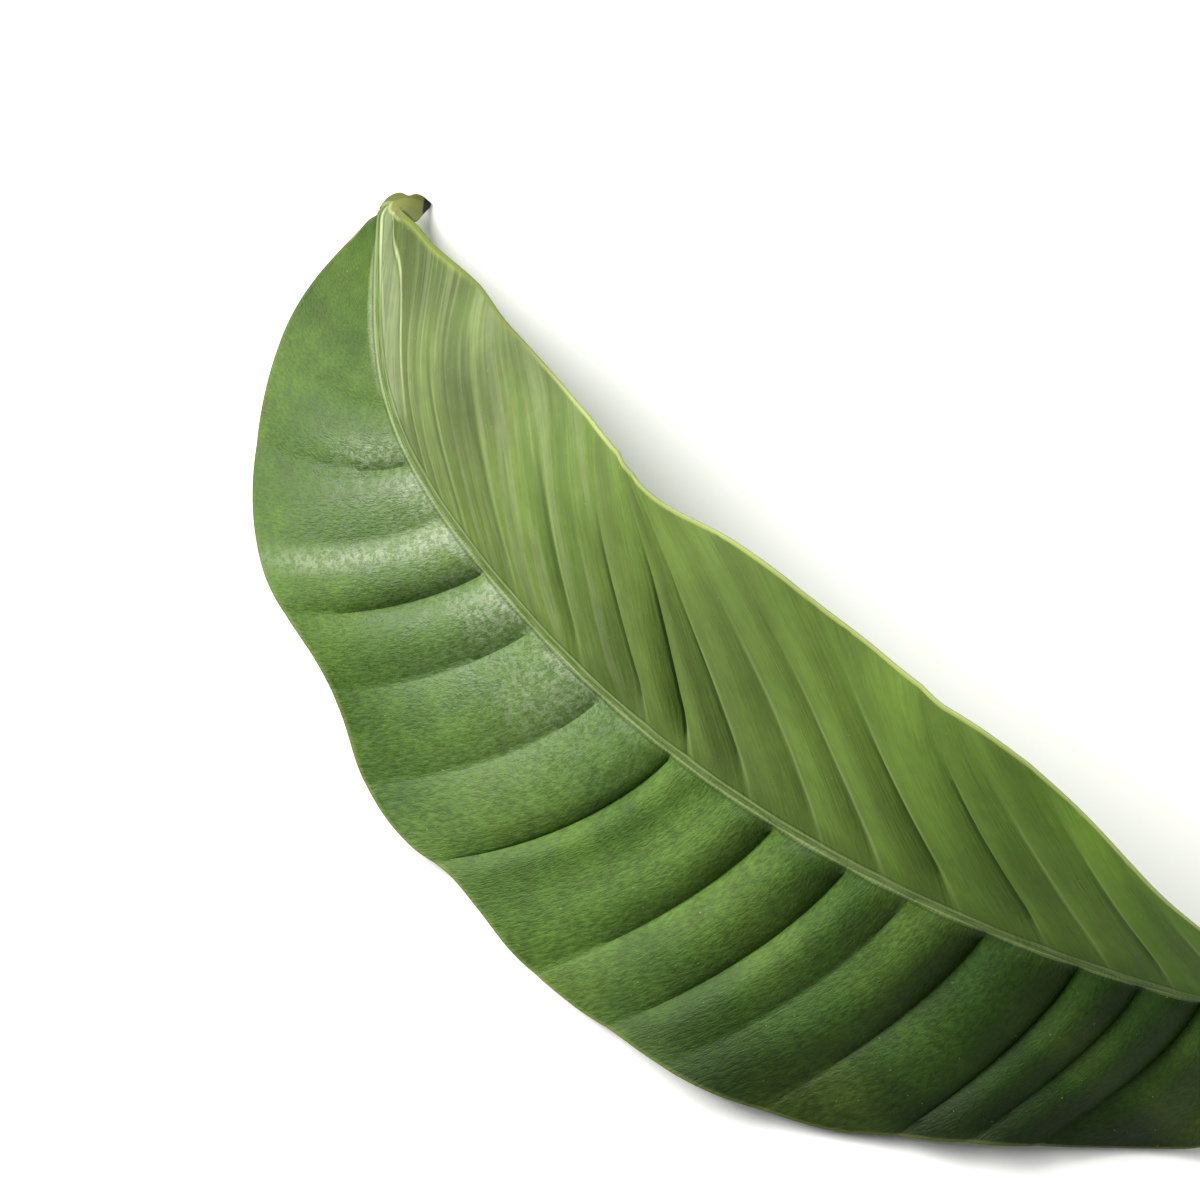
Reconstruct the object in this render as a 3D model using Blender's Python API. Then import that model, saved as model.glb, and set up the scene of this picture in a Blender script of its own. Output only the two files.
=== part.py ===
"""A pothos leaf picked with its stalk, laid on a table on its tip, its stalk's end and one margin.

The leaf is drawn flat first, as nerve lines that leave the midrib and end on the margin. Each flat
place is then carried onto the arched and folded blade. Sizes are in millimetres until the mesh is made.
"""

import bpy
import numpy as np

MM = 0.001

# Driving sizes
BLADE_LENGTH = 255.0
STALK_LENGTH = 72.0
BLADE_THICKNESS = 0.7
RIB_HALF_WIDTH = 1.5
STALK_HALF_WIDTH = 1.8
KEEL_DEPTH = 1.3
STALK_DEPTH = 2.4
RIB_RIDGE = 0.3
RIB_TIP_SHARE = 0.1
RIB_ROUNDNESS = 0.75
STALK_CHANNEL = 0.5
CHANNEL_LEVEL = 0.6
STALK_ROUNDNESS = 0.85
KNEE_LENGTH = 16.0
KNEE_SWELL = 0.22
PLEAT_HEIGHT = 1.5
FULL_PLEAT_WIDTH = 36.0
LEFT_WAVE = 1.6
RIGHT_WAVE = 0.9
WAVE_LENGTH = 47.0

# The midrib's path: millimetres from the blade's base, then its climb, turn and roll in degrees.
MIDRIB = (
    (-72, 55, -4, 16),
    (-30, 40, 7, 15),
    (0, 26, 17, 13),
    (50, 17, 14, 2),
    (100, 6, 10, -6),
    (150, -4, 3, -5),
    (200, -15, -8, -15),
    (230, -37, -18, -11),
    (255, -41, -26, -5),
)

# The drip tip: percent of the blade's length where it ends, then where its curl starts and how far it turns.
TIP_END = 104.0
CURL_START = 101.2
TIP_CURL = -250.0

# The two halves of the blade: percent of its length, then fold and curl in degrees.
LEFT_HALF = ((0, 9, -2), (25, 14, 6), (50, 17, 11), (75, 22, 12), (100, 21, 8))
RIGHT_HALF = ((0, 22, -11), (25, 15, -14), (50, 8, -16), (75, 1, -13), (100, -2, -9))
CURL_WIDTH = 50.0

# Nerve lines: percent of the blade's length where each starts and ends, then the half width there.
LEFT_MARGIN = (
    (0, 2, 22),
    (4, 7, 33),
    (10, 19, 39.5),
    (20, 31, 48.5),
    (35, 46, 51.5),
    (50, 62.5, 48),
    (65, 72, 38.5),
    (78, 84.5, 31.5),
    (88, 95, 17),
    (95, 99, 6.5),
    (100, 100, 2),
    (101, 101, 2.9),
    (102.3, 102.3, 2.6),
    (103.4, 103.4, 1.3),
    (104, 104, 0.4),
)
RIGHT_MARGIN = (
    (0, 2.5, 18.5),
    (4, 9, 31.5),
    (10, 21, 47),
    (20, 33.5, 48),
    (35, 47.5, 49),
    (48, 63, 43),
    (58, 76, 36),
    (66, 87.5, 28.5),
    (75, 95.5, 14.5),
    (86, 98.8, 6),
    (94, 99.7, 2.9),
    (100, 100, 2),
    (101, 101, 2.9),
    (102.3, 102.3, 2.6),
    (103.4, 103.4, 1.3),
    (104, 104, 0.4),
)

# Sunken side nerves, as percent of the blade's length. Those of the right half start a little later.
NERVES = (1.5, 5.2, 9, 13.3, 17.7, 24.5, 30.3, 35.2, 41.3, 46.6, 50.5, 57.3, 64.6, 70.4, 75.5, 80.4, 85, 89.3, 93, 96.3)
NERVE_SHIFT = 1.2
SHIFT_ENDS = 10.0

# How a nerve line bends, more at the base, where the first one is the blade's rounded edge.
NERVE_BEND = 1.25
BASE_BEND = 1.6
BASE_BEND_REACH = 4.0

# Where the pleats fade: share of a nerve line from the midrib, then percent of the blade from each end.
RIB_FADE = 0.2
MARGIN_FADE = 0.6
BASE_FADE = 8.0
TIP_FADE = 18.0
PLEAT_SHARPNESS = 0.8
PLEAT_MEAN = 0.5

# How the leaf lies, in degrees, and how finely it is divided.
LAY_ROLL = -50.5
LAY_PITCH = 1.2
LAY_TURN = -7.9
ROWS_PER_NERVE = 4
ACROSS = (0.1, 0.22, 0.35, 0.48, 0.6, 0.71, 0.81, 0.9, 1.0)
STALK_ROWS = 14
TIP_ROWS = 11
PATH_STEP = 0.25


def smooth(table, column, at):
    """A column of a table at the given places, on a curve with no corners."""
    places = np.array([row[0] for row in table], float)
    values = np.array([row[column] for row in table], float)
    slopes = np.gradient(values, places)
    at = np.clip(at, places[0], places[-1])
    before = np.clip(np.searchsorted(places, at) - 1, 0, len(places) - 2)
    span = places[before + 1] - places[before]
    t = (at - places[before]) / span
    return (
        (2 * t**3 - 3 * t**2 + 1) * values[before]
        + (t**3 - 2 * t**2 + t) * span * slopes[before]
        + (3 * t**2 - 2 * t**3) * values[before + 1]
        + (t**3 - t**2) * span * slopes[before + 1]
    )


def ease(value):
    """0 below 0, 1 above 1, and a soft step between."""
    value = np.clip(value, 0, 1)
    return value * value * (3 - 2 * value)


def midrib_path():
    """Distances along the midrib, with its points, its upward normals and its leftward sides."""
    at = np.arange(-STALK_LENGTH, BLADE_LENGTH * TIP_END / 100 + PATH_STEP, PATH_STEP)
    into_curl = (100 * at / BLADE_LENGTH - CURL_START) / (TIP_END - CURL_START)
    climb = np.radians(smooth(MIDRIB, 1, at) + TIP_CURL * np.clip(into_curl, 0, 1))
    turn = np.radians(smooth(MIDRIB, 2, at))
    roll = np.radians(smooth(MIDRIB, 3, at))[:, None]
    ahead = np.stack([np.cos(climb) * np.cos(turn), np.cos(climb) * np.sin(turn), np.sin(climb)], 1)
    level_up = np.stack([-np.sin(climb) * np.cos(turn), -np.sin(climb) * np.sin(turn), np.cos(climb)], 1)
    up = level_up * np.cos(roll) + np.cross(level_up, ahead) * np.sin(roll)
    steps = (ahead[1:] + ahead[:-1]) / 2 * PATH_STEP
    points = np.vstack([np.zeros(3), np.cumsum(steps, axis=0)])
    return at, points, up, np.cross(up, ahead)


PATH = midrib_path()


def on_path(x):
    """The midrib's point, upward normal and leftward side at each distance x."""
    at = PATH[0]
    return [np.stack([np.interp(x, at, values[:, i]) for i in range(3)], -1) for values in PATH[1:]]


def lift(x, y, side):
    """Flat places, x along the midrib and y out from it, carried onto the arched and folded blade."""
    half = LEFT_HALF if side > 0 else RIGHT_HALF
    percent = 100 * x / BLADE_LENGTH
    fold = np.radians(smooth(half, 1, percent))
    half_curl = np.radians(smooth(half, 2, percent)) * y / CURL_WIDTH / 2
    chord = y * np.sinc(half_curl / np.pi)
    point, up, left = on_path(x)
    angle = fold + half_curl
    return point + left * (side * chord * np.cos(angle))[..., None] + up * (chord * np.sin(angle))[..., None]


def nerve_line(start, t, side):
    """Flat places on the nerve line that starts at this percent, t running from midrib to margin."""
    margin = LEFT_MARGIN if side > 0 else RIGHT_MARGIN
    shift = -side * NERVE_SHIFT * np.clip(np.minimum(start, 100 - start) / SHIFT_ENDS, 0, 1)
    own_start = start + shift
    end = smooth(margin, 1, own_start)
    bend = NERVE_BEND + BASE_BEND * np.exp(-own_start / BASE_BEND_REACH)
    percent = own_start + (end - own_start) * t**bend - shift * (1 - ease(t / RIB_FADE))
    return percent * BLADE_LENGTH / 100, smooth(margin, 2, own_start) * t


def relief(start, t, x, side):
    """Height of the pleats between the nerves, and of the slow waves of the margin.

    Pleats fade into the midrib, towards the margin, at both ends and where the blade is narrow.
    Waves grow towards the margin.
    """
    phase = np.interp(start, NERVES, np.arange(len(NERVES)))
    pleat = np.abs(np.sin(np.pi * phase)) ** PLEAT_SHARPNESS - PLEAT_MEAN
    width = smooth(LEFT_MARGIN if side > 0 else RIGHT_MARGIN, 2, start)
    fade = ease(t / RIB_FADE) * (1 - MARGIN_FADE * t**2) * np.minimum(width / FULL_PLEAT_WIDTH, 1)
    ends = ease(start / BASE_FADE) * ease((100 - start) / TIP_FADE)
    wave = (LEFT_WAVE if side > 0 else RIGHT_WAVE) * np.sin(2 * np.pi * x / WAVE_LENGTH + side) * t**3
    return (PLEAT_HEIGHT * pleat * fade + wave) * ends


def row_starts():
    """Percents of the blade's length where the mesh's rows start, four to each nerve."""
    index = np.arange(0, (len(NERVES) - 1) * ROWS_PER_NERVE + 1) / ROWS_PER_NERVE
    between = np.interp(index, np.arange(len(NERVES)), NERVES)
    return np.concatenate([[0, 0.7], between, [98.3], np.linspace(100, TIP_END, TIP_ROWS)])


def blade_half(starts, side):
    """Middle surface of one half: a grid of points, rows by nerve line, columns from the midrib out."""
    width = smooth(LEFT_MARGIN if side > 0 else RIGHT_MARGIN, 2, starts)
    rib = np.minimum(RIB_HALF_WIDTH, width / 2) / width
    columns = [0 * rib, rib / 2] + [rib + (1 - rib) * share for share in (0, *ACROSS)]
    t = np.stack(columns, 1)
    start = np.broadcast_to(starts[:, None], t.shape)
    x, y = nerve_line(start, t, side)
    return lift(x, y, side), relief(start, t, x, side)


def middle_surface(starts):
    """The whole blade's middle surface, columns from the right margin to the left one, with its normals."""
    right, right_relief = blade_half(starts, -1)
    left, left_relief = blade_half(starts, 1)
    points = np.concatenate([right[:, :0:-1], left], 1)
    heights = np.concatenate([right_relief[:, :0:-1], left_relief], 1)
    normals = grid_normals(points)
    points = points + normals * heights[..., None]
    return points, grid_normals(points)


def grid_normals(points):
    along = np.gradient(points, axis=0)
    across = np.gradient(points, axis=1)
    normals = np.cross(along, across)
    return normals / np.linalg.norm(normals, axis=2, keepdims=True)


def rib_offsets(starts, columns, height):
    """What the midrib adds to the blade's face: a rounded ridge of this height, lower towards the tip."""
    taper = np.clip(1 - starts / 100, RIB_TIP_SHARE, 1)
    middle = columns // 2
    offsets = np.zeros((len(starts), columns))
    offsets[:, middle] = height * taper
    offsets[:, middle - 1] = offsets[:, middle + 1] = height * taper * RIB_ROUNDNESS
    return offsets


def blade_faces(starts):
    """Upper and lower faces of the blade, as two grids of points."""
    points, normals = middle_surface(starts)
    columns = points.shape[1]
    above = BLADE_THICKNESS / 2 + rib_offsets(starts, columns, RIB_RIDGE)
    below = BLADE_THICKNESS / 2 + rib_offsets(starts, columns, KEEL_DEPTH)
    return points + normals * above[..., None], points - normals * below[..., None]


def stalk_rings(base_ring):
    """Rings of the stalk, from the blade's base to its cut end, each with the base ring's corners."""
    count = len(base_ring) // 2
    sides = np.linspace(-1, 1, count)
    rings = []
    for x in np.linspace(0, -STALK_LENGTH, STALK_ROWS + 1)[1:]:
        knee = 1 + KNEE_SWELL * np.exp(-(((x + KNEE_LENGTH) / (KNEE_LENGTH / 2)) ** 2))
        width = STALK_HALF_WIDTH * knee
        top = BLADE_THICKNESS / 2 + STALK_CHANNEL * (sides**2 - CHANNEL_LEVEL)
        bottom = -BLADE_THICKNESS / 2 - STALK_DEPTH * knee * np.sqrt(1 - (STALK_ROUNDNESS * sides) ** 2)
        point, up, left = on_path(np.array(x))
        upper = point + left * (sides * width)[:, None] + up * top[:, None]
        lower = point + left * (sides * width)[:, None] + up * bottom[:, None]
        rings.append(np.vstack([upper, lower[::-1]]))
    return rings


def quad(a, b, c, d):
    """Two triangles that face the same way as the four corners a, b, c, d."""
    return [(a, b, c), (a, c, d)]


def leaf_mesh():
    """Points and triangles of the closed leaf."""
    starts = row_starts()
    upper, lower = blade_faces(starts)
    rows, columns = upper.shape[:2]
    points = np.vstack([upper.reshape(-1, 3), lower.reshape(-1, 3)])
    top = np.arange(rows * columns).reshape(rows, columns)
    under = top + rows * columns
    triangles = []
    for i in range(rows - 1):
        for j in range(columns - 1):
            triangles += quad(top[i, j], top[i + 1, j], top[i + 1, j + 1], top[i, j + 1])
            triangles += [tri[::-1] for tri in quad(under[i, j], under[i + 1, j], under[i + 1, j + 1], under[i, j + 1])]
        triangles += quad(top[i, 0], under[i, 0], under[i + 1, 0], top[i + 1, 0])
        triangles += quad(under[i, -1], top[i, -1], top[i + 1, -1], under[i + 1, -1])
    middle = columns // 2
    rib = range(middle - 2, middle + 3)
    for j in range(columns - 1):
        triangles += quad(under[-1, j], under[-1, j + 1], top[-1, j + 1], top[-1, j])
        if j not in rib[:-1]:
            triangles += quad(top[0, j], top[0, j + 1], under[0, j + 1], under[0, j])
    ring = [top[0, j] for j in rib] + [under[0, j] for j in reversed(rib)]
    for next_points in stalk_rings(points[ring]):
        next_ring = list(range(len(points), len(points) + len(ring)))
        points = np.vstack([points, next_points])
        for k in range(len(ring)):
            after = (k + 1) % len(ring)
            triangles += quad(next_ring[k], ring[k], ring[after], next_ring[after])
        ring = next_ring
    centre = len(points)
    points = np.vstack([points, points[ring].mean(0)])
    triangles += [(ring[k], ring[(k + 1) % len(ring)], centre) for k in range(len(ring))]
    return points, triangles


def turn_about(axis, degrees):
    """Rotation matrix about one of the three axes."""
    angle = np.radians(degrees)
    matrix = np.eye(3)
    a, b = (axis + 1) % 3, (axis + 2) % 3
    matrix[[a, b], [a, b]] = np.cos(angle)
    matrix[a, b] = -np.sin(angle)
    matrix[b, a] = np.sin(angle)
    return matrix


def laid_down(points):
    """The leaf turned as it lies, its box centred on the origin and standing on the floor."""
    turned = points @ (turn_about(2, LAY_TURN) @ turn_about(1, LAY_PITCH) @ turn_about(0, LAY_ROLL)).T
    low, high = turned.min(0), turned.max(0)
    return turned - [(low[0] + high[0]) / 2, (low[1] + high[1]) / 2, low[2]]


def leaf_material():
    material = bpy.data.materials.new("leaf")
    material.use_nodes = True
    shader = material.node_tree.nodes["Principled BSDF"]
    shader.inputs["Base Color"].default_value = (0.10, 0.21, 0.04, 1)
    shader.inputs["Roughness"].default_value = 0.42
    shader.inputs["Metallic"].default_value = 0.0
    return material


def main():
    for thing in list(bpy.data.objects):
        bpy.data.objects.remove(thing)
    points, triangles = leaf_mesh()
    mesh = bpy.data.meshes.new("leaf")
    mesh.from_pydata((laid_down(points) * MM).tolist(), [], [tuple(int(i) for i in tri) for tri in triangles])
    mesh.shade_smooth()
    mesh.set_sharp_from_angle(angle=np.radians(50))
    mesh.materials.append(leaf_material())
    leaf = bpy.data.objects.new("leaf", mesh)
    bpy.context.scene.collection.objects.link(leaf)


if __name__ == "__main__":
    main()
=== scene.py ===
"""A pothos leaf picked with its stalk, laid down on a pale table, seen from above.

The fine leaf repeats the form of the CAD leaf: flat nerve lines are carried onto the arched and folded
blade. Its grid is closer, with sharp creases, lesser nerves and a rounded rim, and its tip turns aside as
well as down. The leaf's sizes are in millimetres.
"""

import bpy
import numpy as np
from mathutils import Matrix, Vector

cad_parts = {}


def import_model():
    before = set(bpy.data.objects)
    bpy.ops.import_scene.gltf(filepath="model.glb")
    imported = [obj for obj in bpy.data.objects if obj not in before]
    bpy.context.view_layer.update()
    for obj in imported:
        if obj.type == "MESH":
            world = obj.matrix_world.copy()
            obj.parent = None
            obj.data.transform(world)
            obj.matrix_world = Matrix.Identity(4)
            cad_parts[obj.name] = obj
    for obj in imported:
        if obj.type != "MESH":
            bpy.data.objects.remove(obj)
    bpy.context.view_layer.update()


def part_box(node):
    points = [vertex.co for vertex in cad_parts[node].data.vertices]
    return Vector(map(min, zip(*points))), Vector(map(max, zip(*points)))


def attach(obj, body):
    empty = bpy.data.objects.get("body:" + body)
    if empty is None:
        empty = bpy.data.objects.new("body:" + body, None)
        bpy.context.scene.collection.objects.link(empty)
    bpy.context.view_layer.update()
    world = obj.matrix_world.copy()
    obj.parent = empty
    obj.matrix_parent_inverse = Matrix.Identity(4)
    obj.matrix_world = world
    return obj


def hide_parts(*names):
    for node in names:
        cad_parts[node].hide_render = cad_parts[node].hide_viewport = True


MM = 0.001

# Driving sizes, as in the CAD model apart from the thinner blade, its pleats and the rounder stalk
BLADE_LENGTH = 255.0
STALK_LENGTH = 72.0
BLADE_THICKNESS = 0.5
BASE_THICKNESS = 0.25
RIM_THICKNESS = 0.62
RIM_WIDTH = 1.2
RIB_HALF_WIDTH = 1.5
STALK_HALF_WIDTH = 1.8
KEEL_DEPTH = 1.3
STALK_DEPTH = 2.4
RIB_RIDGE = 0.3
RIB_TIP_SHARE = 0.1
STALK_CHANNEL = 0.5
CHANNEL_LEVEL = 0.6
STALK_ROUNDNESS = 0.93
KNEE_LENGTH = 16.0
KNEE_SWELL = 0.22
LEFT_PLEAT = 2.8
RIGHT_PLEAT = 1.9
FULL_PLEAT_WIDTH = 36.0
LESSER_HEIGHT = 0.1
LESSER_COUNT = 4
LEFT_WAVE = 1.6
RIGHT_WAVE = 0.9
WAVE_LENGTH = 47.0

# The midrib's path: millimetres from the blade's base, then its climb, turn and roll in degrees
MIDRIB = (
    (-72, 55, -4, 16),
    (-30, 40, 7, 15),
    (0, 26, 17, 13),
    (50, 17, 14, 2),
    (100, 6, 10, -6),
    (150, -4, 3, -5),
    (200, -15, -8, -15),
    (230, -37, -18, -11),
    (255, -41, -26, -5),
)

# The drip tip: percent of the blade's length where it ends and where its curl starts, then how far it bends
# down and turns to the right there, in degrees
TIP_END = 103.9
CURL_START = 99.1
TIP_CURL = -112.0
TIP_TURN = -108.0

# The two halves of the blade: percent of its length, then fold and curl in degrees
LEFT_HALF = ((0, 9, -2), (25, 14, 6), (50, 17, 11), (75, 22, 12), (100, 21, 8))
RIGHT_HALF = ((0, 22, -11), (25, 15, -14), (50, 8, -16), (75, 1, -13), (100, -2, -9))
CURL_WIDTH = 50.0

# Nerve lines: percent of the blade's length where each starts and ends, then the half width there
LEFT_MARGIN = (
    (0, 2, 22),
    (4, 7, 33),
    (10, 19, 39.5),
    (20, 31, 48.5),
    (35, 46, 51.5),
    (50, 62.5, 48),
    (65, 72, 38.5),
    (78, 84.5, 31.5),
    (88, 95, 17),
    (95, 99, 6.5),
    (99.4, 99.8, 1.4),
    (100, 100, 1.2),
    (101, 101, 1.5),
    (101.6, 101.6, 1.2),
    (102, 102, 0.4),
    (102.5, 102.5, 0.9),
    (103.1, 103.1, 0.8),
    (103.5, 103.5, 0.5),
    (103.9, 103.9, 0.3),
)
RIGHT_MARGIN = (
    (0, 2.5, 18.5),
    (4, 9, 31.5),
    (10, 21, 47),
    (20, 33.5, 48),
    (35, 47.5, 49),
    (48, 63, 43),
    (58, 76, 36),
    (66, 87.5, 28.5),
    (75, 95.5, 14.5),
    (86, 98.8, 6),
    (94, 99.5, 5),
    (100, 100, 5.2),
    (101.3, 101.3, 5.6),
    (102.3, 102.3, 5.2),
    (102.8, 102.8, 4),
    (103.3, 103.3, 2.2),
    (103.9, 103.9, 0.3),
)

# Nicks and bulges of the margin: percent where the nerve line starts, then millimetres out on each half
NICKS = (
    (0, 0, 0),
    (12, 0.4, 0),
    (15, 0.9, -1.0),
    (18, 1.2, -0.1),
    (22, 0.1, 0),
    (28, -0.6, -0.1),
    (32, -0.8, 0.5),
    (36, 0.1, 0.3),
    (40, -0.3, -0.8),
    (43, -2.5, -1.6),
    (45, -3.3, -1.0),
    (48, -1.1, 0.5),
    (54, -0.2, -0.1),
    (61, -1.5, 1.3),
    (66, -1.9, 0.7),
    (72, -0.3, -0.3),
    (78, -1.2, 0.2),
    (88, -2.6, 1.0),
    (95, -2.6, 0.5),
    (98, -1.4, 0),
    (100, 0, 0),
)

# Sunken side nerves, as percent of the blade's length. Those of the right half start a little later, by
# NERVE_SHIFT, which grows from nothing over SHIFT_ENDS at both ends
NERVES = (
    1.5, 5.2, 9, 13.3, 17.7, 24.5, 30.3, 35.2, 41.3, 46.6,
    50.5, 57.3, 64.6, 70.4, 75.5, 80.4, 85, 89.3, 93, 96.3,
)
NERVE_SHIFT = 1.2
SHIFT_ENDS = 10.0

# How deep each of these creases is on the two halves, as a share of a full one
LEFT_CREASES = (
    0.5, 0.8, 1.1, 0.9, 1.2, 1.3, 0.6, 1.2, 1.3, 0.15,
    1.2, 0.8, 0.7, 1.1, 0.3, 0.8, 0.35, 0.2, 0.1, 0.1,
)
RIGHT_CREASES = (
    0.4, 0.5, 0.7, 0.3, 1.1, 1.1, 0.6, 0.6, 0.9, 1.7,
    1.1, 0.9, 0.6, 0.5, 0.4, 0.3, 0.2, 0.2, 0.1, 0.1,
)

# How fast the lesser nerves' strength changes from one nerve to the next
UNEVEN_RATE = 7.3

# How far the creases stray towards the tip, in nerve spaces, by nerve number: at the left half's margin,
# at the right half's margin, and two thirds of the way out on the right half
LEAN = (
    (0, 0, 0, 0),
    (2, 0.2, 0, 0),
    (3, -0.2, -0.1, 0),
    (4, -0.4, -0.4, 0),
    (5, -0.1, 0.4, 0),
    (6, 0, 1.3, 0),
    (7, -0.1, 1.0, 0),
    (8, -0.2, 0.7, -0.05),
    (9, -0.4, 0.1, -0.3),
    (10, -0.7, 0.2, -0.15),
    (11, -0.3, 0.3, -0.1),
    (12, 0, 0.2, 0),
    (14, 0, 0, 0),
    (19, 0, 0, 0),
)
RIGHT_LEAN_POWER = 3.0

# Makes t**2 * (1 - t) reach 1, at two thirds of the way out
HUMP_SCALE = 6.75

# How a nerve line bends, more at the base, where the first one is the blade's rounded edge
NERVE_BEND = 1.25
BASE_BEND = 1.6
BASE_BEND_REACH = 4.0

# Where the pleats fade: shares of a nerve line from the midrib, then percent of the blade from each end
LEFT_RIB_FADE = 0.08
RIGHT_RIB_FADE = 0.22
MARGIN_FADE = 0.85
BASE_FADE = 8.0
TIP_FADE = 18.0
PLEAT_SHARPNESS = 0.85
PLEAT_MEAN = 0.7

# How the leaf lies, in degrees, and where the middle of its stalk's end stands
STALK_END_PLACE = (-147.7, -51.0)
LAY_ROLL = -50.5
LAY_PITCH = 1.2
LAY_TURN = -7.9

# How finely the leaf is divided
BLADE_ROWS = 300
TIP_ROWS = 22
RIB_COLUMNS = 7
BLADE_COLUMNS = 46
RIM_COLUMNS = 3
STALK_ROWS = 60
PATH_STEP = 0.25

# Where the parts of the leaf lie on the bake map, in millimetres of the unrolled leaf
MAP_SIZE = 276.0
MAP_UPPER = 56.0
MAP_LOWER = 166.0
MAP_RIMS = (224.0, 230.0)
MAP_STALK = 238.0
MAP_STALK_WIDTH = 16.0
MAP_ENDS = 262.0
MAP_RIM_ENDS = (6.0, 12.0)
MAP_STALK_CUT = 18.0
MAP_STALK_START = 4.0
MAP_STALK_STRETCH = 2.0
MAP_TIP_WALL = 30.0
MAP_TIP_STRETCH = 4.0
MAP_BASE_WALLS = (60.0, 120.0)
MAP_SHIFT = (2.0, 0.0)

# How much each part counts as upper face: the rim from top to bottom, the stalk above and below. The stalk
# has no margin near it, and edges sharper than this many degrees stay sharp
RIM_UPPER = (0.9, 0.4)
STALK_UPPER = (0.8, 0.5)
FAR_FROM_MARGIN = 9.0
SHARP_ANGLE = 60.0

# Painted highlights on the ridges of the left half, where light catches them: nerve number, half its width in
# nerve spaces, how far out it goes, strength
PAINTED_HIGHLIGHT_RIDGES = (
    (11.4, 0.5, 0.5, 0.35),
    (12.5, 0.5, 0.35, 0.5),
    (13.75, 0.28, 1.2, 0.75),
    (14.5, 0.6, 0.2, 0.4),
    (15.25, 0.3, 0.6, 0.5),
    (13.0, 3.0, 0.12, 0.4),
)

# Colours of the leaf, as linear red, green and blue. Along each half: millimetres from the blade's base where
# a green begins and where it is full, then the green
LEFT_GREENS = (
    # The darkest green, at the left half's base, is partly its own deeper green and partly painted shade
    # where that part faces away from the light.
    (0, 0, (0.018, 0.056, 0.001, 1)),
    (35, 135, (0.087, 0.176, 0.027, 1)),
    (180, 215, (0.07, 0.145, 0.014, 1)),
    (218, 245, (0.04, 0.098, 0.002, 1)),
)
RIGHT_GREENS = (
    (0, 0, (0.12, 0.225, 0.017, 1)),
    (20, 130, (0.14, 0.213, 0.044, 1)),
    (170, 200, (0.14, 0.188, 0.062, 1)),
    (210, 240, (0.085, 0.13, 0.022, 1)),
)
# Painted shade where the left margin near the base curls away from the light.
PAINTED_SHADE_GREEN = (0.012, 0.03, 0.002, 1)
CLOUD_GREEN = (0.14, 0.2, 0.03, 1)
PALE_STREAK = (0.24, 0.29, 0.14, 1)
DARK_STREAK = (0.06, 0.12, 0.012, 1)
LENS_GREEN = (0.25, 0.305, 0.155, 1)
LENS_OUTLINE = (0.52, 0.58, 0.33, 1)
# Painted shade on the side of each crease towards the tip.
TIPWARD_SHADE_GREEN = (0.055, 0.1, 0.01, 1)
# Painted shade beside the midrib on the right half.
PAINTED_RIB_SHADE_GREEN = (0.08, 0.14, 0.015, 1)
# Crease lines: partly darker sunken nerves, partly painted shade in the crease.
CREASE_NERVE_AND_SHADE = (0.03, 0.065, 0.008, 1)
# Pale side of the right half's creases: partly a pale nerve line, partly painted highlight on the slope that
# faces the light.
CREASE_PALE_AND_HIGHLIGHT = (0.3, 0.36, 0.16, 1)
SPECK_GREEN = (0.36, 0.42, 0.16, 1)
# A painted sheen: pale green that stands for light shining off the left half.
PAINTED_SHEEN_GREEN = (0.24, 0.31, 0.18, 1)
# Painted highlight where light catches the left half's ridges.
PAINTED_HIGHLIGHT_GREEN = (0.4, 0.47, 0.31, 1)
RIB_GREENS = ((0.09, 0.165, 0.03, 1), (0.2, 0.27, 0.09, 1))
RIB_LINE_GREEN = (0.34, 0.42, 0.18, 1)
RIB_SIDE_GREEN = (0.04, 0.085, 0.015, 1)
TIP_LINE_GREEN = (0.5, 0.56, 0.32, 1)
LIME_GREEN = (0.3, 0.36, 0.06, 1)
RIM_GREENS = ((0.42, 0.47, 0.15, 1), (0.15, 0.19, 0.02, 1))
UNDER_GREENS = ((0.15, 0.245, 0.085, 1), (0.2, 0.29, 0.11, 1))
UNDER_PATCH = (0.1, 0.185, 0.05, 1)
UNDER_NERVE = (0.28, 0.36, 0.17, 1)
LOBE_GREEN = (0.2, 0.22, 0.055, 1)
FOLD_LINE_GREEN = (0.45, 0.5, 0.18, 1)
DRIED_BROWN = (0.012, 0.01, 0.006, 1)
STALK_GREENS = ((0.12, 0.21, 0.045, 1), (0.2, 0.3, 0.08, 1))
CUT_BROWN = (0.3, 0.25, 0.13, 1)
THROUGH_TINT = (1.5, 1.6, 0.7, 1)

# How far the patterns are drawn out: across the nerves and out along them, per half where there are two
# values, how far apart the two faces lie in them, and along the midrib
LEATHER_ACROSS = 24.0
LEATHER_OUT = (32.0, 7.0)
STREAKS_ACROSS = 13.0
STREAKS_OUT = 2.5
FACES_APART = 40.0
RIB_STRETCH = 0.06

# The pale lens by the tip: nerve numbers for its end and length, then shares of the way to the margin
LENS_END = 15.6
LENS_LENGTH = 1.3
LENS_MIDDLE = 0.42
LENS_HALF_WIDTH = 0.4
LENS_SLANT = 0.085

# The midrib's half widths at both ends, its two pale lines (millimetres from its middle, strength), the line
# that leads to the tip, and where on the tip its fold and its dried point lie
RIB_WIDTHS = (1.4, 1.0)
RIB_LINES = ((0.75, 0.7), (-0.95, 0.5))
TIP_LINE_END = 258.0
TIP_LINE_SLANT = 0.06
TIP_FOLD = 256.8
DRIED_POINT = (262.8, 263.4)

# The skin's relief in millimetres, and the share of light that shines through the blade
SKIN_RELIEF = 0.2
THROUGH_SHARE = 0.32

# The table: half its side in metres, its two greys, the size of their patches and its roughness
TABLE_HALF = 4.0
TABLE_GREYS = ((0.86, 0.86, 0.86, 1), (0.88, 0.88, 0.87, 1))
TABLE_PATCH = 0.3
TABLE_ROUGHNESS = 0.9

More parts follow.
